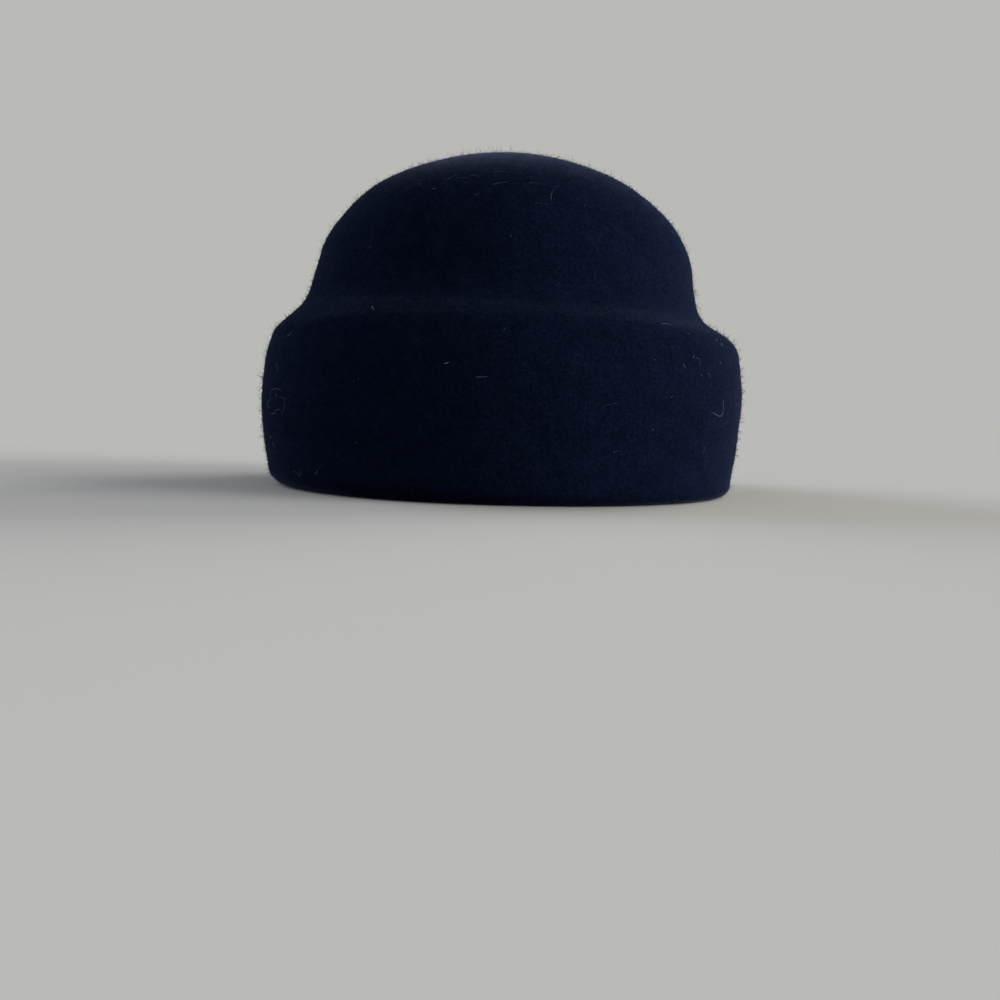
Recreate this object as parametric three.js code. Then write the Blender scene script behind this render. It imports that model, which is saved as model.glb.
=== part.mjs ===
// A sailor hat blocked from one piece of wool felt: a domed crown, a waist, a sloping shoulder,
// a wide cuff and an edge that is rolled under. Millimetres, +Z up, with the front towards -Y and
// +X on the right of someone who faces the front. The origin is the middle of the plane it rests on.
import * as THREE from "three";

// The head that it fits, measured inside the foot of the dome: an oval of about 560 mm all round.
const HEAD_WIDTH = 160;
const HEAD_LENGTH = 196;
const FELT_THICKNESS = 2.5;

// The dome is half an ellipse that springs from this height.
const DOME_SPRING_HEIGHT = 87;
const DOME_RISE = 55.2;

// Below the dome the felt runs straight between bends. A row gives where two runs would meet and how
// wide the bend is there. standOff is measured outwards from the half width of the crown.
// Hand blocking left the two sides unlike, so each size is [left, right] as seen from the front.
// drop is how much lower a bend sits at the front and back than the two sides would put it.
const BENDS = {
  waist: { standOff: [4.5, 2.4], height: [77.1, 73], drop: 1.2, radius: [19, 15.5], steps: 4 },
  shoulder: { standOff: [17.6, 19.4], height: [64.6, 63.5], drop: 1, radius: [8, 10.8], steps: 4 },
  cuff: { standOff: [23.8, 22.8], height: [42.8, 42.8], drop: 0, radius: [90, 90], steps: 5 },
  rolledEdge: { standOff: [18.3, 18.5], height: [0, 0], drop: 0, radius: [8.5, 4.6], steps: 5 },
};
const LIP_STAND_OFF = 3.5; // where the felt that is rolled under ends, flat on the table

const MERIDIANS = 64;
const DOME_STEPS = 11;
const NAVY_FELT = { color: 0x0c1330, roughness: 0.95, metalness: 0 };

const CROWN_HALF_WIDTH = HEAD_WIDTH / 2 + FELT_THICKNESS;
const OVAL_EXTRA = (HEAD_LENGTH - HEAD_WIDTH) / 2; // how much further it reaches in front than at the side

// A size at some place round the hat, where share is 0 on the left and 1 on the right.
const between = ([left, right], share) => left + (right - left) * share;

// Points of the round that replaces the corner between two straight runs.
function bendPoints(from, corner, to, radius, steps) {
  const back = from.clone().sub(corner).normalize();
  const ahead = to.clone().sub(corner).normalize();
  const half = Math.acos(back.dot(ahead)) / 2;
  const middle = back.clone().add(ahead).normalize();
  const centre = corner.clone().addScaledVector(middle, radius / Math.sin(half));
  const start = corner.clone().addScaledVector(back, radius / Math.tan(half));
  const turn = -Math.sign(back.cross(ahead)) * (Math.PI - 2 * half);
  return Array.from({ length: steps + 1 }, (_, i) => start.clone().rotateAround(centre, (turn * i) / steps));
}

// The dome from its top down to where a straight run from the waist meets it at a tangent.
function domePoints(waist) {
  const out = waist.x / CROWN_HALF_WIDTH;
  const up = (waist.y - DOME_SPRING_HEIGHT) / DOME_RISE;
  const foot = Math.atan2(out, up) - Math.acos(1 / Math.hypot(out, up));
  return Array.from({ length: DOME_STEPS + 1 }, (_, i) => {
    const fromTop = (foot * i) / DOME_STEPS;
    return new THREE.Vector2(
      CROWN_HALF_WIDTH * Math.sin(fromTop),
      DOME_SPRING_HEIGHT + DOME_RISE * Math.cos(fromTop),
    );
  });
}

// The outer face of the felt as half width against height, from the top of the dome to the lip,
// at an angle round the oval that is measured from the front to the right.
function outerSection(angle) {
  const share = (1 + Math.sin(angle)) / 2;
  const bends = Object.values(BENDS);
  const corners = bends.map(({ standOff, height, drop }) => {
    const halfWidth = CROWN_HALF_WIDTH + between(standOff, share);
    return new THREE.Vector2(halfWidth, between(height, share) - drop * Math.cos(angle) ** 2);
  });
  const points = domePoints(corners[0]);
  const lip = new THREE.Vector2(CROWN_HALF_WIDTH + LIP_STAND_OFF, 0);
  const ends = [points.at(-1), ...corners, lip];
  bends.forEach((bend, i) => {
    points.push(...bendPoints(ends[i], ends[i + 1], ends[i + 2], between(bend.radius, share), bend.steps));
  });
  return [...points, lip];
}

// The inner face: the outer one moved inwards, square to it, by the thickness of the felt.
function innerSection(outer) {
  const last = outer.length - 1;
  return outer.map((point, i) => {
    const along = outer[Math.min(i + 1, last)].clone().sub(outer[Math.max(i - 1, 0)]);
    const inwards = new THREE.Vector2(along.y, -along.x).normalize();
    if (i === 0) inwards.set(0, -1);
    if (i === last) inwards.set(0, 1);
    return point.clone().addScaledVector(inwards, FELT_THICKNESS);
  });
}

// One section of the wall, from the top down the inside, round the lip and up the outside.
function wallSection(angle) {
  const outer = outerSection(angle);
  return [...innerSection(outer), ...outer.reverse()];
}

// Where a point of the section lies at an angle round the oval.
function placeOnOval(point, angle) {
  const halfWidth = point.x;
  const halfDepth = halfWidth + OVAL_EXTRA * Math.min(1, halfWidth / CROWN_HALF_WIDTH);
  return new THREE.Vector3(halfWidth * Math.sin(angle), -halfDepth * Math.cos(angle), point.y);
}

// The wall: a lathe gives the closed net of faces, and each meridian then takes its own section.
function feltWall() {
  const geometry = new THREE.LatheGeometry(wallSection(0), MERIDIANS);
  const places = [];
  for (let m = 0; m <= MERIDIANS; m++) {
    const angle = (2 * Math.PI * (m % MERIDIANS)) / MERIDIANS;
    places.push(...wallSection(angle).map((point) => placeOnOval(point, angle)));
  }
  geometry.attributes.position.copyArray(places.flatMap((place) => place.toArray()));
  geometry.computeVertexNormals();
  return geometry;
}

const sailorHat = new THREE.Group();
sailorHat.name = "sailor_hat";

const feltBody = new THREE.Mesh(feltWall(), new THREE.MeshStandardMaterial(NAVY_FELT));
feltBody.name = "felt_body";
sailorHat.add(feltBody);

export default sailorHat;
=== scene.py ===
"""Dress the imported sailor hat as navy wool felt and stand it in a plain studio.

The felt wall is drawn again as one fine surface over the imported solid. Its nap, the fibres that are matted
into it and a little lint are small meshes on that surface. Lengths are millimetres until a mesh is written.
Angles round the oval run from the front, -Y, towards the right, +X.
"""

import logging
import math
from dataclasses import dataclass
from enum import Enum

import bpy
import numpy as np
from mathutils import Matrix, Vector
from numpy.typing import NDArray


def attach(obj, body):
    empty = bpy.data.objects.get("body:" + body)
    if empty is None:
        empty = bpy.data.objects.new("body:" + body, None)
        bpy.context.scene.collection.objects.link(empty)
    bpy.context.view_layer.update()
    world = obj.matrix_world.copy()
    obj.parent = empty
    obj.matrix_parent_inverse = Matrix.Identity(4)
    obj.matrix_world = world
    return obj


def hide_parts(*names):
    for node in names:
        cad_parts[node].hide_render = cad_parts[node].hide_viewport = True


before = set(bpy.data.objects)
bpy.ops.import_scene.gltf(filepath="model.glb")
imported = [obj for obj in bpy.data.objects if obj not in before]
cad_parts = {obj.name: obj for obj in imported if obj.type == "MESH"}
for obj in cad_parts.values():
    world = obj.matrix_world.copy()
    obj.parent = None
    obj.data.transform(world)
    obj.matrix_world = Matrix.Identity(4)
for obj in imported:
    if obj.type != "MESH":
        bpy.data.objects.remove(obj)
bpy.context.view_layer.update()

Array = NDArray[np.float64]
Indices = NDArray[np.int64]
Pair = tuple[float, float]
Triple = tuple[float, float, float]

MM = 0.001
BODY = "root"
FELT_NODE = "felt_body"
BAKE_MAP = "OFBake"
TONE = "tone"
FULL_TURN = 2 * math.pi
NO_GLOSS = 0.0

log = logging.getLogger("sailor_hat")


# Small tools

def linear(colour: str) -> tuple[float, float, float, float]:
    """Turn an sRGB hex colour into the linear colour that shaders take.

    Args:
        colour: Six hex digits after a hash sign.

    Returns:
        Red, green, blue and alpha.
    """
    srgb = [int(colour[i:i + 2], 16) / 255 for i in (1, 3, 5)]
    rgb = [c / 12.92 if c <= 0.04045 else ((c + 0.055) / 1.055) ** 2.4 for c in srgb]
    return (rgb[0], rgb[1], rgb[2], 1.0)


def unit(vectors: Array) -> Array:
    """Vectors brought to length one along the last axis."""
    return vectors / np.linalg.norm(vectors, axis=-1, keepdims=True)


def per_metre(size: float) -> float:
    """The texture scale that gives a pattern this size in mm on coordinates in metres."""
    return 1 / (size * MM)


def add_node(
    tree: bpy.types.NodeTree,
    kind: str,
    settings: dict[str, object] | None = None,
    inputs: dict[str | int, object] | None = None,
) -> bpy.types.Node:
    """Add a shader node with its settings and links.

    Args:
        tree: The material's or world's nodes.
        kind: Blender's name for the node.
        settings: Properties of the node.
        inputs: What goes into each socket, a value or another node's output.

    Returns:
        The new node.
    """
    node = tree.nodes.new(kind)
    for name, value in (settings or {}).items():
        setattr(node, name, value)
    for name, value in (inputs or {}).items():
        if isinstance(value, bpy.types.NodeSocket):
            tree.links.new(value, node.inputs[name])
        else:
            node.inputs[name].default_value = value
    return node


def new_material(name: str) -> tuple[bpy.types.Material, bpy.types.NodeTree]:
    """Make a material with no nodes yet.

    Args:
        name: What the real material is.

    Returns:
        The material and its nodes.
    """
    material = bpy.data.materials.new(name)
    material.use_nodes = True
    material.node_tree.nodes.clear()
    return material, material.node_tree


def mesh_object(name: str, points: Array, triangles: Indices) -> bpy.types.Object:
    """Write points and triangles into a smooth mesh at the origin.

    Args:
        name: The piece's name.
        points: Places in mm, shape (points, 3).
        triangles: Three point numbers each, shape (triangles, 3), turning so that they face outwards.

    Returns:
        The new object, linked to the scene.
    """
    mesh = bpy.data.meshes.new(name)
    mesh.vertices.add(len(points))
    mesh.vertices.foreach_set("co", (points * MM).astype(np.float32).ravel())
    mesh.loops.add(triangles.size)
    mesh.loops.foreach_set("vertex_index", triangles.astype(np.int32).ravel())
    mesh.polygons.add(len(triangles))
    mesh.polygons.foreach_set("loop_start", np.arange(0, triangles.size, 3, dtype=np.int32))
    mesh.update(calc_edges=True)
    mesh.shade_smooth()
    piece = bpy.data.objects.new(name, mesh)
    bpy.context.scene.collection.objects.link(piece)
    return piece


def write_bake_map(piece: bpy.types.Object, corners: Array) -> None:
    """Give a piece the map that its colours are baked on.

    Args:
        piece: The piece.
        corners: Map places of the triangles' corners, shape (triangles, 3, 2).
    """
    layer = piece.data.uv_layers.new(name=BAKE_MAP)
    layer.uv.foreach_set("vector", corners.astype(np.float32).ravel())


def dress(piece: bpy.types.Object, material: bpy.types.Material) -> bpy.types.Object:
    """Give a piece its finish and fix it to the hat."""
    piece.data.materials.append(material)
    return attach(piece, BODY)


# Viewpoint

@dataclass(frozen=True)
class Viewpoint:
    """The photograph's viewpoint, at the same angle to the hat and just above the floor it stands on."""

    place: Triple = (0.0, -455.3, 27.4)
    heading_deg: float = 0.08  # from straight ahead, +Y, towards +X
    pitch_deg: float = 4.29  # downwards
    roll_deg: float = 1.67  # how far the hat leans clockwise in the picture
    focal_px: float = 1000.0
    frame_px: float = 1000.0
    sensor_mm: float = 36.0

    def axes(self) -> tuple[Array, Array, Array]:
        """Work out the directions of the picture.

        Returns:
            Unit vectors to the right and up in the picture, and forwards.
        """
        heading, pitch, roll = np.radians([self.heading_deg, self.pitch_deg, self.roll_deg])
        ahead = np.array([math.sin(heading), math.cos(heading), 0.0])
        forward = ahead * math.cos(pitch) - np.array([0.0, 0.0, math.sin(pitch)])
        level = np.array([math.cos(heading), -math.sin(heading), 0.0])
        top = np.cross(level, forward)
        right = level * math.cos(roll) + top * math.sin(roll)
        return right, np.cross(right, forward), forward

    def pixels(self, points: Array) -> Array:
        """Work out where points show in the picture.

        Args:
            points: Places, shape (..., 3).

        Returns:
            Pixels from the picture's left and top edges, shape (..., 2).
        """
        right, top, forward = self.axes()
        away = points - np.array(self.place)
        scale = self.focal_px / (away @ forward)
        middle = self.frame_px / 2
        return np.stack([middle + away @ right * scale, middle - away @ top * scale], axis=-1)

    def build(self) -> bpy.types.Object:
        """Make the camera and give it to the scene.

        Returns:
            The camera.
        """
        lens = bpy.data.cameras.new("viewpoint")
        lens.sensor_width = self.sensor_mm
        lens.lens = self.sensor_mm * self.focal_px / self.frame_px
        lens.clip_start = MM
        right, top, forward = self.axes()
        camera = bpy.data.objects.new("viewpoint", lens)
        turn = Matrix([list(row) for row in np.stack([right, top, -forward], axis=1)])
        camera.matrix_world = Matrix.Translation(Vector(self.place) * MM) @ turn.to_4x4()
        bpy.context.scene.collection.objects.link(camera)
        bpy.context.scene.camera = camera
        return camera


# Finishes

@dataclass(frozen=True)
class WoolFelt:
    """Wool felt, matted and then brushed: no gloss, a mottle of fibre clumps and a soft pale sheen.

    Its colour also follows the fibres' relief, as painted shade in the gaps and painted light on the crests.
    """

    deep: str = "#060a17"
    pale: str = "#0d142b"
    sheen: str = "#b8c6fc"
    sheen_weight: float = 0.09
    sheen_roughness: float = 0.2
    roughness: float = 0.95
    clump: float = 9.0  # mm across a patch where the fibres matted alike
    clump_detail: float = 4.0  # how many times a patch's mark is drawn again at half the size
    clump_share: float = 0.2  # how much of the colour comes from the patches, the rest from the fibres' painted shade and light
    fibre: float = 0.9  # mm between fibres, drawn some ten times coarser than wool so that it shows
    flatten: float = 1.5  # how many times longer a fibre's mark is along the felt than across it
    detail: float = 2.5  # how many times a fibre's mark is drawn again at half the size
    fineness: float = 0.6  # how strong each finer drawing is beside the one before
    curl: float = 1.0  # how far the marks bend out of line
    gap: float = 0.47  # the mark that counts as a gap between fibres, painted deep there as shade
    crest: float = 0.69  # and as the crest of a fibre, painted pale there as light on it
    relief: float = 0.6  # mm from the deepest gap to the highest fibre
    relief_share: float = 0.7  # how much of the relief shows in the light

    def streaks(
        self,
        tree: bpy.types.NodeTree,
        place: bpy.types.NodeSocket,
        squeeze: Triple,
    ) -> bpy.types.NodeSocket:
        """Draw the marks of the fibres that lie one way.

        Args:
            tree: The material's nodes.
            place: Where on the felt.
            squeeze: How many times finer the marks are along x, y and z than a fibre's length.

        Returns:
            The marks, from 0 in the gaps to 1 on the fibres.
        """
        squeezed = add_node(tree, "ShaderNodeMapping", inputs={"Vector": place, "Scale": squeeze})
        return add_node(
            tree,
            "ShaderNodeTexNoise",
            inputs={
                "Vector": squeezed.outputs["Vector"],
                "Scale": per_metre(self.fibre * self.flatten),
                "Detail": self.detail,
                "Roughness": self.fineness,
                "Distortion": self.curl,
            },
        ).outputs["Fac"]

    def material(self) -> bpy.types.Material:
        """Make the felt's material.

        Returns:
            The material.
        """
        material, tree = new_material("navy wool felt")
        place = add_node(tree, "ShaderNodeTexCoord").outputs["Object"]
        clumps = add_node(
            tree,
            "ShaderNodeTexNoise",
            inputs={
                "Vector": place,
                "Scale": per_metre(self.clump),
                "Detail": self.clump_detail,
                "Roughness": self.fineness,
            },
        ).outputs["Fac"]
        level = self.streaks(tree, place, (1.0, 1.0, self.flatten))
        upright = self.streaks(tree, place, (self.flatten, self.flatten, 1.0))
        fibres = add_node(
            tree,
            "ShaderNodeMath",
            {"operation": "MAXIMUM"},
            {0: level, 1: upright},
        ).outputs["Value"]
        # The fibre marks that make the relief below also set most of the colour: painted shade in the gaps
        # and painted light on the crests, over the real mottle of the patches.
        mottle = add_node(
            tree,
            "ShaderNodeMix",
            {"data_type": "FLOAT"},
            {0: self.clump_share, 2: fibres, 3: clumps},
        ).outputs[0]
        share = add_node(
            tree,
            "ShaderNodeMapRange",
            inputs={"Value": mottle, "From Min": self.gap, "From Max": self.crest},
        ).outputs["Result"]
        colour = add_node(
            tree,
            "ShaderNodeMix",
            {"data_type": "RGBA"},
            {"Factor": share, 6: linear(self.deep), 7: linear(self.pale)},
        ).outputs[2]
        bump = add_node(
            tree,
            "ShaderNodeBump",
            inputs={"Strength": self.relief_share, "Distance": self.relief * MM, "Height": fibres},
        ).outputs["Normal"]
        shader = add_node(
            tree,
            "ShaderNodeBsdfPrincipled",
            inputs={
                "Base Color": colour,
                "Roughness": self.roughness,
                "Specular IOR Level": NO_GLOSS,
                "Sheen Weight": self.sheen_weight,
                "Sheen Roughness": self.sheen_roughness,
                "Sheen Tint": linear(self.sheen),
                "Normal": bump,
            },
        )
        add_node(tree, "ShaderNodeOutputMaterial", inputs={"Surface": shader.outputs["BSDF"]})
        return material


@dataclass(frozen=True)
class WoolFibre:
    """Single wool fibres: scaly, so they scatter light softly, each dyed a little darker or paler."""

    name: str
    dark: str
    pale: str
    roughness: float = 0.9
    sheen: str = "#b8c6fc"
    sheen_weight: float = 0.12
    sheen_roughness: float = 0.2

    def material(self) -> bpy.types.Material:
        """Make a fibre's material, which reads each fibre's own tone.

        Returns:
            The material.
        """
        material, tree = new_material(self.name)
        tone = add_node(tree, "ShaderNodeAttribute", {"attribute_name": TONE}).outputs["Fac"]
        colour = add_node(
            tree,
            "ShaderNodeMix",
            {"data_type": "RGBA"},
            {"Factor": tone, 6: linear(self.dark), 7: linear(self.pale)},
        ).outputs[2]
        shader = add_node(
            tree,
            "ShaderNodeBsdfPrincipled",
            inputs={
                "Base Color": colour,
                "Roughness": self.roughness,
                "Specular IOR Level": NO_GLOSS,
                "Sheen Weight": self.sheen_weight,
                "Sheen Roughness": self.sheen_roughness,
                "Sheen Tint": linear(self.sheen),
            },
        )
        add_node(tree, "ShaderNodeOutputMaterial", inputs={"Surface": shader.outputs["BSDF"]})
        return material


@dataclass(frozen=True)
class MattPaper:
    """Matt studio paper: even, pale and without any gloss, so that only the shadow shows on it."""

    colour: str = "#929195"
    roughness: float = 1.0

    def material(self) -> bpy.types.Material:
        """Make the paper's material.

        Returns:
            The material.
        """
        material, tree = new_material("matt paper")
        shader = add_node(
            tree,
            "ShaderNodeBsdfPrincipled",
            inputs={
                "Base Color": linear(self.colour),
                "Roughness": self.roughness,
                "Specular IOR Level": NO_GLOSS,
            },
        )
        add_node(tree, "ShaderNodeOutputMaterial", inputs={"Surface": shader.outputs["BSDF"]})
        return material


# The felt wall

class Area(Enum):
    """A part of the felt that fibres grow on."""

    CROWN = "crown"
    CUFF = "cuff"


@dataclass(frozen=True)
class Bend:
    """A round in the felt's section between two straight runs that would meet at a corner.

    Each size is a (left, right) pair as seen from the front, because hand blocking left the sides unlike.
    """

    stand_off: Pair  # from the crown's half width out to the corner
    height: Pair
    drop: float  # how much lower it sits at the front and back than the two sides would put it
    radius: Pair
    run_rings: int  # steps of the surface along the straight run before the round
    rings: int  # steps of the surface through the round


@dataclass(frozen=True)
class Footing:
    """Places on the felt, with the directions that fibres are laid by. Each has shape (places, 3)."""

    place: Array
    normal: Array
    right: Array
    up: Array


@dataclass
class FeltBody:
    """The hat's one felt wall: domed crown, waist, sloping shoulder, wide cuff and rolled edge."""

    head_width: float = 160.0
    head_length: float = 196.0
    felt: float = 2.5
    spring_height: float = 87.0
    dome_rise: float = 55.2
    lip_stand_off: float = 3.5
    lip_bulge: float = 0.8  # how far the cut edge of the felt rounds out
    waist: Bend = Bend(
        stand_off=(4.5, 2.4), height=(77.1, 73.0), drop=1.2, radius=(19.0, 15.5), run_rings=3, rings=9
    )
    shoulder: Bend = Bend(
        stand_off=(17.6, 19.4), height=(64.6, 63.5), drop=1.0, radius=(8.0, 10.8), run_rings=5, rings=8
    )
    cuff: Bend = Bend(
        stand_off=(23.8, 22.8), height=(42.8, 42.8), drop=0.0, radius=(90.0, 90.0), run_rings=2, rings=18
    )
    edge: Bend = Bend(
        stand_off=(18.3, 18.5), height=(0.0, 0.0), drop=0.0, radius=(8.5, 4.6), run_rings=11, rings=10
    )
    meridians: int = 300
    dome_rings: int = 62
    lip_rings: int = 4
    cut_rings: int = 5
    wave_lengths: tuple[float, ...] = (78.0, 52.0, 37.0, 26.0, 19.0)
    wave_height: float = 0.10  # mm of each wave in the unevenness of hand-blocked felt
    wave_seed: int = 4
    level_below: float = 4.0  # the felt is true below this height, where it rests
    level_above: float = 14.0  # and as uneven as it gets above this one

    def __post_init__(self) -> None:
        """Work out both faces of the felt once, for the mesh and for what lies on it."""
        self.angles = np.arange(self.meridians) * FULL_TURN / self.meridians
        outer = self.outer_section()
        inner = self.inner_section(outer)
        true_outer = self.on_oval(outer)
        lift = self.unevenness(true_outer)[..., None] * self.normals(true_outer)
        self.outer = true_outer + lift
        self.inner = self.on_oval(inner) + lift
        self.outer_normals = self.normals(self.outer)

    @property
    def crown_half_width(self) -> float:
        """Half the crown's width outside the felt."""
        return self.head_width / 2 + self.felt

    @property
    def oval_extra(self) -> float:
        """How much further the felt reaches in front than at the side."""
        return (self.head_length - self.head_width) / 2

    @property
    def bends(self) -> tuple[Bend, ...]:
        """The rounds below the dome, from the top down."""
        return (self.waist, self.shoulder, self.cuff, self.edge)

    def between(self, pair: Pair) -> Array:
        """A (left, right) size at each angle: it goes from one to the other as the sine of the angle."""
        share = (1 + np.sin(self.angles)) / 2
        return pair[0] + (pair[1] - pair[0]) * share

    def corner_height(self, bend: Bend) -> Array:
        """How high a bend's corner is at each angle: its drop goes as the cosine squared."""
        return self.between(bend.height) - bend.drop * np.cos(self.angles) ** 2

    def dome(self, waist_corner: Array) -> Array:
        """Work out the dome's section.

        It is an ellipse from the top down to where a straight line from the waist meets it at a tangent.

        Args:
            waist_corner: Half width and height of the waist's corner, shape (angles, 2).

        Returns:
            Half width and height, shape (angles, rings, 2).
        """
        out = waist_corner[:, 0] / self.crown_half_width
        up = (waist_corner[:, 1] - self.spring_height) / self.dome_rise
        foot = np.arctan2(out, up) - np.arccos(1 / np.hypot(out, up))
        from_top = foot[:, None] * np.linspace(0, 1, self.dome_rings + 1)
        half_width = self.crown_half_width * np.sin(from_top)
        height = self.spring_height + self.dome_rise * np.cos(from_top)
        return np.stack([half_width, height], axis=-1)

    @staticmethod
    def round_corner(start: Array, corner: Array, end: Array, radius: Array, rings: int) -> Array:
        """Work out the arc that touches the run from start to corner and the run from corner to end.

        Args:
            start: Where the first run starts, shape (angles, 2).
            corner: Where the two runs meet.
            end: Where the second run ends.
            radius: The arc's radius at each angle.
            rings: Steps along the arc.

        Returns:
            Points of the arc, shape (angles, rings + 1, 2).
        """
        back, ahead = unit(start - corner), unit(end - corner)
        half = np.arccos((back * ahead).sum(axis=-1)) / 2
        centre = corner + unit(back + ahead) * (radius / np.sin(half))[:, None]
        first = corner + back * (radius / np.tan(half))[:, None] - centre
        side = np.sign(back[:, 0] * ahead[:, 1] - back[:, 1] * ahead[:, 0])
        turn = -(side * (np.pi - 2 * half))[:, None] * np.linspace(0, 1, rings + 1)
        x = first[:, :1] * np.cos(turn) - first[:, 1:] * np.sin(turn)
        y = first[:, :1] * np.sin(turn) + first[:, 1:] * np.cos(turn)
        return centre[:, None] + np.stack([x, y], axis=-1)

    @staticmethod
    def straight_run(start: Array, end: Array, rings: int) -> Array:
        """Even steps from start to end, without either of them."""
        share = np.linspace(0, 1, rings + 1)[1:-1, None]
        return start[:, None] + (end - start)[:, None] * share

    def outer_section(self) -> Array:
        """Work out the felt's outer face at every angle.

        The dome is followed by rounded corners joined by straight runs, down to the lip that lies flat.

        Returns:
            Half width and height, shape (angles, points, 2).
        """
        corners = [
            np.stack([self.crown_half_width + self.between(b.stand_off), self.corner_height(b)], axis=-1)
            for b in self.bends
        ]
        dome = self.dome(corners[0])
        lip = np.zeros_like(corners[0]) + (self.crown_half_width + self.lip_stand_off, 0.0)
        ends = [dome[:, -1], *corners, lip]
        stretches = [dome]
        for i, bend in enumerate(self.bends):
            radius = self.between(bend.radius)
            arc = self.round_corner(ends[i], ends[i + 1], ends[i + 2], radius, bend.rings)
            stretches += [self.straight_run(stretches[-1][:, -1], arc[:, 0], bend.run_rings), arc]
        stretches += [self.straight_run(stretches[-1][:, -1], lip, self.lip_rings), lip[:, None]]
        return np.concatenate(stretches, axis=1)

    def inner_section(self, outer: Array) -> Array:
        """Move the outer face inwards, square to itself, by the felt's thickness.

        Args:
            outer: Half width and height of the outer face, shape (angles, points, 2).

        Returns:
            The same for the inner face.
        """
        along = np.gradient(outer, axis=1)
        inwards = unit(np.stack([along[..., 1], -along[..., 0]], axis=-1))
        inwards[:, 0] = (0.0, -1.0)
        inwards[:, -1] = (0.0, 1.0)
        return outer + self.felt * inwards

    def on_oval(self, section: Array) -> Array:
        """Carry the section round the oval, which is longer from front to back by a head's own extra.

        Args:
            section: Half width and height, shape (angles, points, 2).

        Returns:
            Places, shape (angles, points, 3).
        """
        half_width, height = section[..., 0], section[..., 1]
        half_depth = half_width + self.oval_extra * np.minimum(1, half_width / self.crown_half_width)
        sine, cosine = np.sin(self.angles)[:, None], np.cos(self.angles)[:, None]
        return np.stack([half_width * sine, -half_depth * cosine, height], axis=-1)

    @staticmethod
    def normals(face: Array) -> Array:
        """Work out the directions square to a face, away from the hat's middle, from its steps both ways.

        Args:
            face: Places, shape (angles, points, 3).

        Returns:
            Unit vectors of the same shape.
        """
        around = np.roll(face, -1, axis=0) - np.roll(face, 1, axis=0)
        along = np.gradient(face, axis=1)
        square = np.cross(along, around)
        square[:, 0] = (0.0, 0.0, 1.0)
        return unit(square)

    def unevenness(self, points: Array) -> Array:
        """Work out how far hand-blocked felt stands off its true form.

        It is a sum of sine waves across space, each in its own direction. It dies out where the hat rests.

        Args:
            points: Places on the true form, shape (..., 3).

        Returns:
            Heights in mm, shape (...).
        """
        rng = np.random.default_rng(self.wave_seed)
        ways = unit(rng.normal(size=(len(self.wave_lengths), 3))) / np.array(self.wave_lengths)[:, None]
        starts = rng.uniform(0, 1, len(self.wave_lengths))
        height = self.wave_height * np.sin(FULL_TURN * (points @ ways.T + starts)).sum(axis=-1)
        share = (points[..., 2] - self.level_below) / (self.level_above - self.level_below)
        return height * np.clip(share, 0, 1)

    def cut_edge(self) -> Array:
        """Work out the rounded cut edge of the lip: half an ellipse from the outer face to the inner one.

        Returns:
            Places, shape (angles, points, 3).
        """
        turn = np.linspace(0, np.pi, self.cut_rings + 1)[1:-1]
        half_width = self.crown_half_width + self.lip_stand_off - self.lip_bulge * np.sin(turn)
        height = self.felt / 2 * (1 - np.cos(turn))
        section = np.stack([half_width, height], axis=-1)
        return self.on_oval(np.broadcast_to(section, (self.meridians, *section.shape)))

    def build(self) -> bpy.types.Object:
        """Make the felt wall's mesh: rings from the top down the outside, round the lip and up the inside.

        Returns:
            The piece.
        """
        rings = np.concatenate([self.outer[:, 1:], self.cut_edge(), self.inner[:, :0:-1]], axis=1)
        count = rings.shape[1]
        ring_points = rings.transpose(1, 0, 2).reshape(-1, 3)
        points = np.concatenate([self.outer[:1, 0], ring_points, self.inner[:1, 0]])

        # Two triangles for each cell between two rings, with the ring and the step round it of each corner.
        ring, step = np.meshgrid(np.arange(count - 1), np.arange(self.meridians), indexing="ij")
        ring, step = ring.ravel(), step.ravel()
        quads = np.stack([ring, ring + 1, ring + 1, ring], axis=-1)
        steps = np.stack([step, step, step + 1, step + 1], axis=-1)
        halves = [[0, 1, 2], [0, 2, 3]]

        # A fan closes the top of each face. Its point stands for ring -1 outside and for ring count inside.
        around = np.arange(self.meridians)
        pair = np.stack([around, around + 1], axis=-1)
        top = np.zeros_like(pair)
        ring_of = np.concatenate([quads[:, halves].reshape(-1, 3), np.insert(top, 0, -1, axis=1)])
        step_of = np.concatenate([steps[:, halves].reshape(-1, 3), np.insert(pair, 0, around, axis=1)])
        ring_of = np.concatenate([ring_of, np.insert(top + count - 1, 1, count, axis=1)])
        step_of = np.concatenate([step_of, np.insert(pair, 1, around, axis=1)])

        numbers = 1 + ring_of * self.meridians + step_of % self.meridians
        numbers = np.where(ring_of < 0, 0, np.where(ring_of == count, len(points) - 1, numbers))
        piece = mesh_object("felt_wall", points, numbers)
        across = step_of / self.meridians
        write_bake_map(piece, np.stack([across, (ring_of + 1) / (count + 1)], axis=-1))
        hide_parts(FELT_NODE)
        return piece

    def face(self, area: Area) -> tuple[Array, Array]:
        """Pick the stretch of the felt that an area covers.

        Args:
            area: The part of the felt.

        Returns:
            Its places and its outward directions, each of shape (angles, points, 3).
        """
        crown_end = self.dome_rings + self.waist.run_rings + self.waist.rings
        cuff_end = self.outer.shape[1] - self.lip_rings - self.edge.rings // 2
        spans = {Area.CROWN: slice(0, crown_end), Area.CUFF: slice(crown_end - 1, cuff_end)}
        return self.outer[:, spans[area]], self.outer_normals[:, spans[area]]

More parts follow.
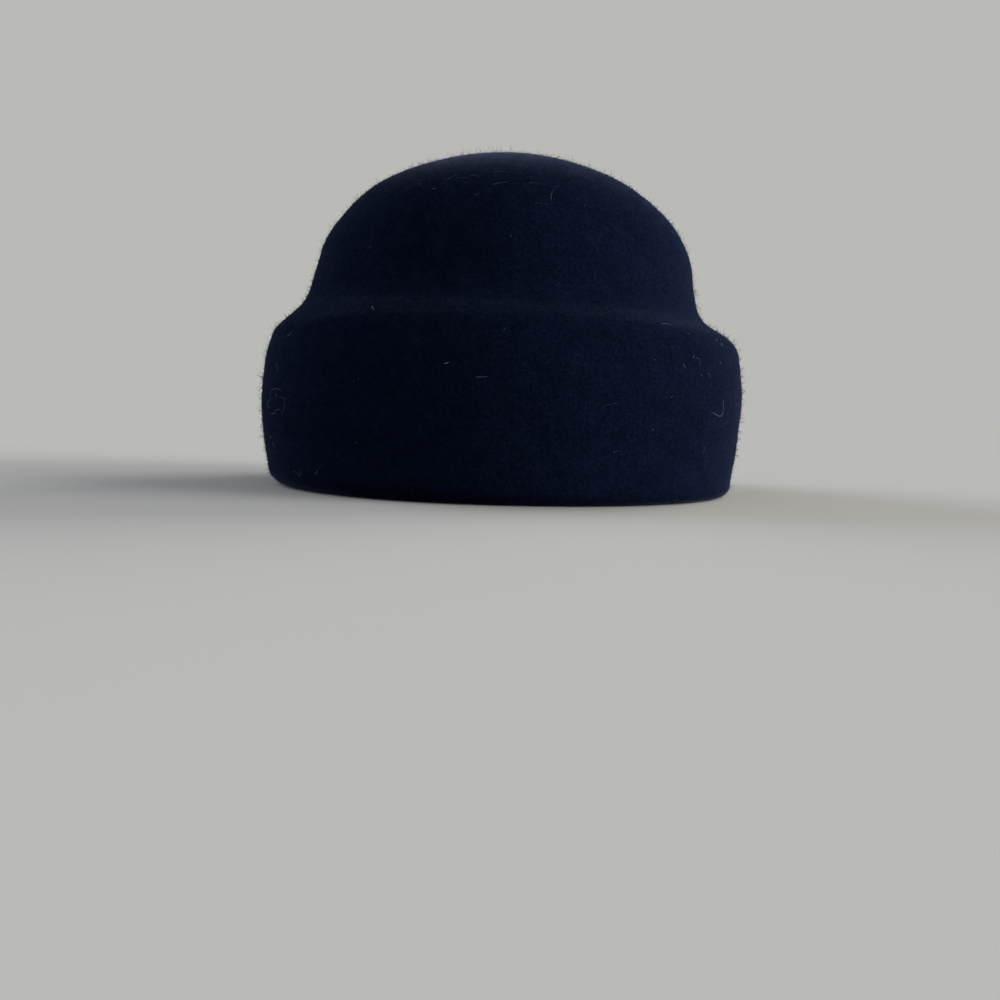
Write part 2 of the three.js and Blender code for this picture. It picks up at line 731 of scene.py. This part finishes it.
    def scatter(self, rng: np.random.Generator, area: Area, count: int) -> Footing:
        """Choose places spread evenly over an area, each at random inside a cell of the surface.

        Args:
            rng: Where the chances come from.
            area: The part of the felt.
            count: How many places.

        Returns:
            The places and their directions.
        """
        places, normals = self.face(area)
        beside = np.roll(places, -1, axis=0)
        size = np.linalg.norm(np.cross(beside - places, np.gradient(places, axis=1)), axis=-1)[:, :-1]
        cell = rng.choice(size.size, count, p=(size / size.sum()).ravel())
        n, m = np.divmod(cell, size.shape[1])
        return self.footing(places, normals, n + rng.random(count), m + rng.random(count))

    def footing(self, places: Array, normals: Array, n: Array, m: Array) -> Footing:
        """Read a face between its points, in straight lines from one to the next.

        Args:
            places: The face, shape (angles, points, 3).
            normals: Its outward directions.
            n: Steps round the oval, with fractions.
            m: Steps down the section, with fractions.

        Returns:
            The places and their directions.
        """
        n0, m0 = np.floor(n).astype(int), np.clip(np.floor(m).astype(int), 0, places.shape[1] - 2)
        u, v = (n - n0)[..., None], (m - m0)[..., None]
        near, far = n0 % self.meridians, (n0 + 1) % self.meridians

        def mixed(grid: Array) -> Array:
            """The grid's value between its four nearest points."""
            upper = grid[near, m0] * (1 - u) + grid[far, m0] * u
            lower = grid[near, m0 + 1] * (1 - u) + grid[far, m0 + 1] * u
            return upper * (1 - v) + lower * v

        normal = unit(mixed(normals))
        down = places[near, m0 + 1] - places[near, m0]
        right = unit(np.cross(normal, down))
        return Footing(mixed(places), normal, right, np.cross(normal, right))

    def shown_at(self, view: Viewpoint, pixel: Pair) -> Pair:
        """Find what place on the outer face shows at a pixel of the picture.

        It starts from the nearest point of the face that is turned to the viewer. From there it goes on in a
        straight line, along the steps to the next points.

        Args:
            view: Where the picture is taken from.
            pixel: Pixels from the picture's left and top edges.

        Returns:
            Steps round the oval and steps down the section, with fractions.
        """
        shown = view.pixels(self.outer)
        turned_away = ((self.outer - np.array(view.place)) * self.outer_normals).sum(axis=-1) > 0
        distance = np.where(turned_away, np.inf, np.linalg.norm(shown - np.array(pixel), axis=-1))
        n, m = np.unravel_index(np.argmin(distance[:, :-1]), distance[:, :-1].shape)
        here = shown[n, m]
        steps = np.stack([shown[(n + 1) % self.meridians, m] - here, shown[n, m + 1] - here], axis=-1)
        beside, below = np.linalg.solve(steps, np.array(pixel) - here)
        return n + beside, m + below

    def walk(self, start: Pair, right: Array, up: Array) -> Footing:
        """Go along the outer face from a place on it.

        Args:
            start: Steps round the oval and steps down the section to the start.
            right: Millimetres to the right of the start, for each place on the way.
            up: Millimetres up the felt from the start.

        Returns:
            The places and their directions.
        """
        n, m = round(start[0]) % self.meridians, round(start[1])
        here = self.outer[n, m]
        beside = np.linalg.norm(self.outer[(n + 1) % self.meridians, m] - here)
        below = np.linalg.norm(self.outer[n, m + 1] - here)
        around, down = start[0] + right / beside, start[1] - up / below
        return self.footing(self.outer, self.outer_normals, around, down)


# Fibres

TUBE_SIDES = 3
NEARLY_UPRIGHT = 0.9  # of a unit vector's length along +Z


def fibre_tubes(
    name: str,
    paths: Array,
    thickness: Array,
    tones: Array,
    facing: Array | None = None,
) -> bpy.types.Object:
    """Carry a small three-cornered section along each path, tapering to a point at its end.

    Args:
        name: The piece's name.
        paths: Points along each fibre, shape (fibres, points, 3).
        thickness: Each fibre's thickness at its root, in mm.
        tones: Each fibre's shade, from 0 for dark to 1 for pale.
        facing: The felt's outward direction at each fibre, which it takes the light by if this is given, as
            fibres that lie close together do.

    Returns:
        The piece, with every fibre closed at both ends.
    """
    fibres, points = paths.shape[:2]
    along = unit(np.gradient(paths, axis=1))
    chord = unit(paths[:, -1] - paths[:, 0])
    helper = np.where(np.abs(chord[:, 2:]) < NEARLY_UPRIGHT, (0.0, 0.0, 1.0), (1.0, 0.0, 0.0))
    side = unit(np.cross(along, helper[:, None]))
    other = np.cross(along, side)
    edge = np.arange(TUBE_SIDES)
    turn = edge * FULL_TURN / TUBE_SIDES
    taper = np.sqrt(1 - np.linspace(0, 1, points) ** 2)[:-1]
    reach = (thickness[:, None] / 2 * taper)[:, :, None, None]
    section = side[:, :-1, None] * np.cos(turn)[:, None] + other[:, :-1, None] * np.sin(turn)[:, None]
    rings = paths[:, :-1, None] + reach * section
    corners = np.concatenate([rings.reshape(fibres, -1, 3), paths[:, -1:]], axis=1)

    ring, corner = np.meshgrid(np.arange(points - 2) * TUBE_SIDES, edge, indexing="ij")
    here, beside = (ring + corner).ravel(), (ring + (corner + 1) % TUBE_SIDES).ravel()
    last = (points - 2) * TUBE_SIDES
    end = np.full_like(edge, last + TUBE_SIDES)
    pattern = np.concatenate(
        [
            np.stack([here, beside, beside + TUBE_SIDES], axis=-1),
            np.stack([here, beside + TUBE_SIDES, here + TUBE_SIDES], axis=-1),
            np.stack([last + edge, last + (edge + 1) % TUBE_SIDES, end], axis=-1),
            [edge[::-1]],
        ]
    )
    triangles = (pattern + np.arange(fibres)[:, None, None] * corners.shape[1]).reshape(-1, 3)
    piece = mesh_object(name, corners.reshape(-1, 3), triangles)
    shade = np.repeat(tones, corners.shape[1])
    piece.data.attributes.new(TONE, "FLOAT", "POINT").data.foreach_set("value", shade.astype(np.float32))
    height = np.append(np.repeat(np.linspace(0, 1, points)[:-1], TUBE_SIDES), 1.0)
    map_height = np.tile(height, fibres)
    write_bake_map(piece, np.stack([shade, map_height], axis=-1)[triangles])
    if facing is not None:
        piece.data.normals_split_custom_set_from_vertices(np.repeat(facing, corners.shape[1], axis=0))
    return piece


class Lie(Enum):
    """How a fibre lies in the felt."""

    STANDING = "one end free"
    MATTED = "both ends in the felt"


@dataclass(frozen=True)
class Fibre:
    """One kind of wool fibre in the felt."""

    lie: Lie
    length: Pair  # mm
    lift_deg: Pair  # how steeply a fibre leaves the felt
    sway: Pair  # how far it bends to the side, as a share of its length
    turns: Pair  # how many waves it bends in
    thickness: Pair  # mm, drawn some times thicker than wool so that it shows
    rings: int  # steps along a fibre
    level: float  # 0 for fibres that lie any way, 1 for fibres that all lie level
    finish: WoolFibre
    root: float = 0.08  # mm that a root reaches into the felt
    short_bias: float = 2.0  # 1 for lengths that are spread evenly, more for more fibres near the short end

    def paths(self, rng: np.random.Generator, feet: Footing) -> Array:
        """Work out the fibres' paths.

        A fibre goes straight along its heading and bends to the side as part of a sine wave. A standing one
        also rises all the way, and a matted one rises and sinks again as half a sine wave.

        Args:
            rng: Where the chances come from.
            feet: The fibres' roots and the directions there.

        Returns:
            Points along each fibre, shape (fibres, rings + 1, 3).
        """
        count = len(feet.place)

        def chance(pair: Pair, power: float = 1.0) -> Array:
            """A random size for each fibre, with more small ones the higher the power."""
            return pair[0] + (pair[1] - pair[0]) * rng.random((count, 1, 1)) ** power

        length = chance(self.length, self.short_bias)
        lift = np.radians(chance(self.lift_deg))
        sway = chance(self.sway)
        turns = FULL_TURN * chance(self.turns)
        start = chance((0, FULL_TURN))
        way = chance((0, FULL_TURN))
        heading = np.arctan2(np.sin(way) * (1 - self.level), np.cos(way))
        normal = feet.normal[:, None]
        ahead = np.cos(heading) * feet.right[:, None] + np.sin(heading) * feet.up[:, None]
        t = np.linspace(0, 1, self.rings + 1)[None, :, None]
        side = sway * (np.sin(turns * t + start) - np.sin(start)) * np.cross(normal, ahead)
        rise = t if self.lie is Lie.STANDING else np.sin(np.pi * t)
        path = np.cos(lift) * t * ahead + np.sin(lift) * rise * normal + side
        return feet.place[:, None] - self.root * normal + length * path


@dataclass(frozen=True)
class FibreCoat:
    """Fibres of one kind, spread over one area of the felt."""

    name: str
    area: Area
    fibre: Fibre
    count: int
    seed: int
    dark_bias: float = 2.0  # 1 for tones that are spread evenly, more for more dark fibres

    def build(self, body: FeltBody) -> bpy.types.Object:
        """Make the coat's mesh.

        Args:
            body: The felt that the fibres grow on.

        Returns:
            The piece.
        """
        rng = np.random.default_rng(self.seed)
        feet = body.scatter(rng, self.area, self.count)
        paths = self.fibre.paths(rng, feet)
        paths[..., 2] = np.maximum(paths[..., 2], self.fibre.thickness[1])  # clear of the floor
        thickness = rng.uniform(*self.fibre.thickness, self.count)
        tones = rng.random(self.count) ** self.dark_bias
        return fibre_tubes(self.name, paths, thickness, tones, feet.normal)


@dataclass(frozen=True)
class Strand:
    """One strand of lint, where the photograph shows it."""

    start_px: Pair  # where its first end shows in the picture, from the left and top edges
    length: float
    heading_deg: float = 0.0  # 0 to the right along the felt, 90 up it
    turn_deg: float = 0.0  # how far it turns to the left in all
    swing_deg: float = 0.0  # how far it swings to each side on the way
    swings: float = 1.0
    tone: float = 0.05
    thickness: float = 0.08

    def path(self, body: FeltBody, view: Viewpoint, lift: float, rings: int) -> Array:
        """Work out the strand's path: its heading turns evenly and swings as a sine wave.

        Args:
            body: The felt that carries it.
            view: Where the picture is taken from.
            lift: Millimetres between the felt and the middle of the strand.
            rings: Steps along the strand.

        Returns:
            Points, shape (rings + 1, 3).
        """
        t = np.linspace(0, 1, rings + 1)
        swing = self.swing_deg * np.sin(FULL_TURN * self.swings * t)
        heading = np.radians(self.heading_deg + self.turn_deg * t + swing)
        stride = self.length / rings
        right, up = np.cumsum(np.cos(heading)) * stride, np.cumsum(np.sin(heading)) * stride
        feet = body.walk(body.shown_at(view, self.start_px), right, up)
        return feet.place + lift * feet.normal


@dataclass(frozen=True)
class Lint:
    """Pale lint that clings to the felt: loops, hooks, short dashes and specks."""

    strands: tuple[Strand, ...]
    rings: int = 24
    lift: float = 0.12

    def build(self, body: FeltBody, view: Viewpoint) -> bpy.types.Object:
        """Make the lint's mesh.

        Args:
            body: The felt that carries it.
            view: Where the picture is taken from.

        Returns:
            The piece.
        """
        paths = np.stack([strand.path(body, view, self.lift, self.rings) for strand in self.strands])
        thickness = np.array([strand.thickness for strand in self.strands])
        tones = np.array([strand.tone for strand in self.strands])
        return fibre_tubes("lint", paths, thickness, tones)


# Studio

@dataclass(frozen=True)
class SoftLight:
    """A wide, far lamp with a diffuser, so that its light is even over the hat and its shadows are soft."""

    name: str
    side_deg: float  # from the front, -Y, towards the right
    height_deg: float
    strength: float  # watts on each square metre that faces it
    colour: str
    spread_deg: float = 50.0

    def build(self) -> bpy.types.Object:
        """Make the lamp, turned towards the hat.

        Returns:
            The lamp.
        """
        lamp = bpy.data.lights.new(self.name, "SUN")
        lamp.angle = math.radians(self.spread_deg)
        lamp.energy = self.strength
        lamp.color = linear(self.colour)[:3]
        piece = bpy.data.objects.new(self.name, lamp)
        side, height = math.radians(self.side_deg), math.radians(self.height_deg)
        level = math.cos(height)
        way = Vector((-math.sin(side) * level, math.cos(side) * level, -math.sin(height)))
        piece.rotation_euler = way.to_track_quat("-Z", "Y").to_euler()
        bpy.context.scene.collection.objects.link(piece)
        return piece


@dataclass(frozen=True)
class Studio:
    """A wide floor of pale paper, light from all round that is as bright as it, and three soft lamps."""

    floor_radius: float = 20000.0
    sides: int = 96
    gap: float = 0.05  # mm between the floor and the felt, so that no two faces lie in one plane
    paper: MattPaper = MattPaper()
    lamps: tuple[SoftLight, ...] = (
        SoftLight("key", side_deg=80.0, height_deg=8.0, strength=7.6, colour="#ffffee"),
        SoftLight("rim", side_deg=136.0, height_deg=9.0, strength=8.4, colour="#ffffee"),
        SoftLight("fill", side_deg=-120.0, height_deg=18.0, strength=3.2, colour="#f2fbff"),
    )
    surround: str = "#fffffb"
    surround_strength: float = 0.49

    def floor(self) -> bpy.types.Object:
        """Make the floor: a flat disc of triangles round its middle.

        Returns:
            The floor.
        """
        step = np.arange(self.sides)
        angle = step * FULL_TURN / self.sides
        rim = self.floor_radius * np.stack([np.cos(angle), np.sin(angle), np.zeros(self.sides)], axis=-1)
        fan = np.stack([np.zeros_like(step), 1 + step, 1 + (step + 1) % self.sides], axis=-1)
        points = np.concatenate([np.zeros((1, 3)), rim]) - (0.0, 0.0, self.gap)
        piece = mesh_object("floor", points, fan)
        piece.data.materials.append(self.paper.material())
        return piece

    def build(self) -> None:
        """Make the floor, the lamps and the light from all round."""
        self.floor()
        for lamp in self.lamps:
            lamp.build()
        world = bpy.data.worlds.new("studio")
        world.use_nodes = True
        world.node_tree.nodes.clear()
        light = add_node(
            world.node_tree,
            "ShaderNodeBackground",
            inputs={"Color": linear(self.surround), "Strength": self.surround_strength},
        )
        add_node(world.node_tree, "ShaderNodeOutputWorld", inputs={"Surface": light.outputs["Background"]})
        bpy.context.scene.world = world
        bpy.context.scene.view_settings.view_transform = "Standard"


# The hat

NAP = Fibre(
    lie=Lie.STANDING,
    length=(0.4, 1.4),
    lift_deg=(15, 65),
    sway=(0.05, 0.2),
    turns=(0.4, 1.1),
    thickness=(0.07, 0.12),
    rings=2,
    level=0.0,
    finish=WoolFibre("navy wool nap", "#050a16", "#1a2134"),
)
STRAY_HAIR = Fibre(
    lie=Lie.STANDING,
    length=(0.9, 3.8),
    lift_deg=(20, 80),
    sway=(0.1, 0.35),
    turns=(0.4, 1.1),
    thickness=(0.08, 0.16),
    rings=4,
    level=0.0,
    finish=WoolFibre("stray navy wool", "#060b17", "#181f30"),
)
MATTED = Fibre(
    lie=Lie.MATTED,
    length=(1.5, 5.0),
    lift_deg=(2, 6),
    sway=(0.08, 0.3),
    turns=(0.4, 1.1),
    thickness=(0.07, 0.12),
    rings=5,
    level=0.5,
    finish=WoolFibre("matted navy wool", "#050a16", "#1a2136", sheen_weight=0.2),
)

COATS = (
    FibreCoat("crown_nap", Area.CROWN, NAP, count=13000, seed=11),
    FibreCoat("cuff_nap", Area.CUFF, NAP, count=14000, seed=12),
    FibreCoat("crown_strays", Area.CROWN, STRAY_HAIR, count=4400, seed=13),
    FibreCoat("cuff_strays", Area.CUFF, STRAY_HAIR, count=5000, seed=14),
    FibreCoat("crown_matted", Area.CROWN, MATTED, count=4500, seed=15),
    FibreCoat("cuff_matted", Area.CUFF, MATTED, count=4500, seed=16),
)

LINT_WOOL = WoolFibre("pale wool lint", "#4f577c", "#b9b3a0")
LINT = Lint(
    (
        # a heart-shaped tangle near the left edge of the cuff
        Strand(start_px=(282, 391), length=15.0, heading_deg=165, turn_deg=30, thickness=0.13),
        Strand(start_px=(271, 391), length=3.6, heading_deg=-90, thickness=0.12),
        Strand(
            start_px=(271, 400),
            length=11.0,
            heading_deg=185,
            turn_deg=175,
            swing_deg=-45,
            thickness=0.18,
        ),
        Strand(start_px=(284, 397), length=8.0, heading_deg=-60, turn_deg=-100, thickness=0.1),
        Strand(start_px=(275, 393), length=4.0, heading_deg=-20, turn_deg=-20, thickness=0.14),
        Strand(start_px=(279, 396), length=8.0, heading_deg=-8, turn_deg=-6, thickness=0.12),
        Strand(start_px=(275, 412), length=7.0, heading_deg=30, turn_deg=-55, thickness=0.14),
        Strand(start_px=(271, 414), length=7.5, heading_deg=3, tone=0.1, thickness=0.16),
        Strand(start_px=(289, 403), length=2.8, heading_deg=18),
        # other strands on the left of the cuff
        Strand(start_px=(287, 336), length=4.6, heading_deg=5, turn_deg=15, tone=0.35, thickness=0.18),
        Strand(start_px=(291, 334), length=2.5, heading_deg=80),
        Strand(start_px=(277, 362), length=4.9, heading_deg=-58, thickness=0.1),
        Strand(start_px=(272, 442), length=5.0, heading_deg=-26, thickness=0.12),
        Strand(start_px=(359, 377), length=1.2, heading_deg=-90),
        Strand(start_px=(355, 442), length=1.7, heading_deg=-10),
        Strand(start_px=(293, 470), length=5.0, heading_deg=-15),
        Strand(start_px=(298, 474), length=5.0, heading_deg=-60, turn_deg=230),
        Strand(start_px=(314, 475), length=3.5, heading_deg=15, swing_deg=40, swings=2.0),
        Strand(start_px=(317, 470), length=2.0, heading_deg=-85),
        # a hook, arcs and waves on the front of the crown
        Strand(start_px=(534, 203), length=6.8, heading_deg=-4, turn_deg=8, thickness=0.06),
        Strand(start_px=(552, 203), length=11.0, heading_deg=97, turn_deg=-60, thickness=0.06),
        Strand(start_px=(493, 185), length=6.0, heading_deg=40, turn_deg=-40, thickness=0.07),
        Strand(start_px=(447, 180), length=5.0, heading_deg=58, turn_deg=-6, thickness=0.07),
        Strand(start_px=(454, 175), length=2.2, heading_deg=-35, turn_deg=-20, thickness=0.07),
        Strand(start_px=(457, 178), length=4.0, heading_deg=5, turn_deg=-10, thickness=0.06),
        Strand(start_px=(469, 176), length=4.2, heading_deg=15, turn_deg=-50),
        Strand(start_px=(493, 172), length=4.6, heading_deg=25, turn_deg=-35, thickness=0.06),
        Strand(start_px=(528, 183), length=4.8, swing_deg=15, thickness=0.05),
        Strand(start_px=(473, 195), length=2.6, heading_deg=-5, turn_deg=60, thickness=0.05),
        Strand(start_px=(583, 206), length=3.0, heading_deg=20, turn_deg=50, thickness=0.04),
        # at the front and on the shoulder
        Strand(start_px=(475, 377), length=4.4, turn_deg=10, tone=0.15, thickness=0.1),
        Strand(start_px=(503, 333), length=4.6, heading_deg=80, turn_deg=-10, thickness=0.06),
        Strand(start_px=(372, 306), length=3.4, heading_deg=-55, turn_deg=20, tone=0.4, thickness=0.12),
        Strand(start_px=(661, 325), length=8.0, heading_deg=35, turn_deg=-75, tone=0.1, thickness=0.1),
        Strand(start_px=(687, 333), length=1.5, heading_deg=-25, tone=0.6, thickness=0.12),
        # a long hook and curls on the right of the cuff
        Strand(start_px=(723, 400), length=5.5, heading_deg=-68, turn_deg=-40, tone=0.2, thickness=0.1),
        Strand(
            start_px=(723, 413),
            length=13.0,
            heading_deg=215,
            turn_deg=-30,
            swing_deg=-32,
            swings=0.5,
            tone=0.2,
            thickness=0.1,
        ),
        Strand(start_px=(696, 359), length=5.2, heading_deg=45, turn_deg=-200, tone=0.2, thickness=0.1),
        Strand(start_px=(721, 346), length=3.0, heading_deg=20, turn_deg=40, tone=0.3),
        Strand(start_px=(708, 373), length=2.7, heading_deg=-35, turn_deg=-15, tone=0.3, thickness=0.1),
        Strand(start_px=(683, 364), length=1.8, heading_deg=-40, tone=0.4, thickness=0.1),
        Strand(start_px=(671, 398), length=1.2, heading_deg=60, tone=0.2),
        Strand(start_px=(602, 408), length=6.4, heading_deg=35, turn_deg=-45, thickness=0.04),
        Strand(start_px=(612, 452), length=5.0, heading_deg=-5, swing_deg=25, thickness=0.05),
        Strand(start_px=(704, 446), length=3.0, heading_deg=-70, turn_deg=-40, tone=0.2),
        # specks
        Strand(start_px=(444, 364), length=1.6, heading_deg=18, tone=0.9, thickness=0.17),
        Strand(start_px=(693, 357), length=0.7, tone=0.8, thickness=0.16),
        Strand(start_px=(654, 359), length=0.8, heading_deg=-24, tone=0.4, thickness=0.1),
        Strand(start_px=(720, 362), length=0.9, heading_deg=-60, tone=0.4, thickness=0.16),
        Strand(start_px=(701, 375), length=0.6, tone=0.6, thickness=0.16),
        Strand(start_px=(716, 340), length=0.9, tone=0.9, thickness=0.25),
        Strand(start_px=(652, 430), length=0.7, tone=0.1, thickness=0.14),
        Strand(start_px=(433, 189), length=0.7, tone=0.3, thickness=0.18),
        Strand(start_px=(511, 237), length=0.8, heading_deg=80, thickness=0.1),
        Strand(start_px=(370, 248), length=1.2, heading_deg=85, thickness=0.12),
        Strand(start_px=(353, 381), length=0.6, thickness=0.12),
        Strand(start_px=(270, 437), length=1.6, tone=0.5, thickness=0.25),
    )
)


def main() -> None:
    """Build the studio and the hat, piece by piece."""
    logging.basicConfig(level=logging.INFO, format="%(message)s")
    view = Viewpoint()
    view.build()
    Studio().build()
    body = FeltBody()
    pieces = [dress(body.build(), WoolFelt().material())]
    finishes = {coat.fibre.finish: coat.fibre.finish.material() for coat in COATS}
    for coat in COATS:
        pieces.append(dress(coat.build(body), finishes[coat.fibre.finish]))
    pieces.append(dress(LINT.build(body, view), LINT_WOOL.material()))
    for piece in pieces:
        log.info("%s: %d triangles", piece.name, len(piece.data.polygons))


if __name__ == "__main__":
    main()
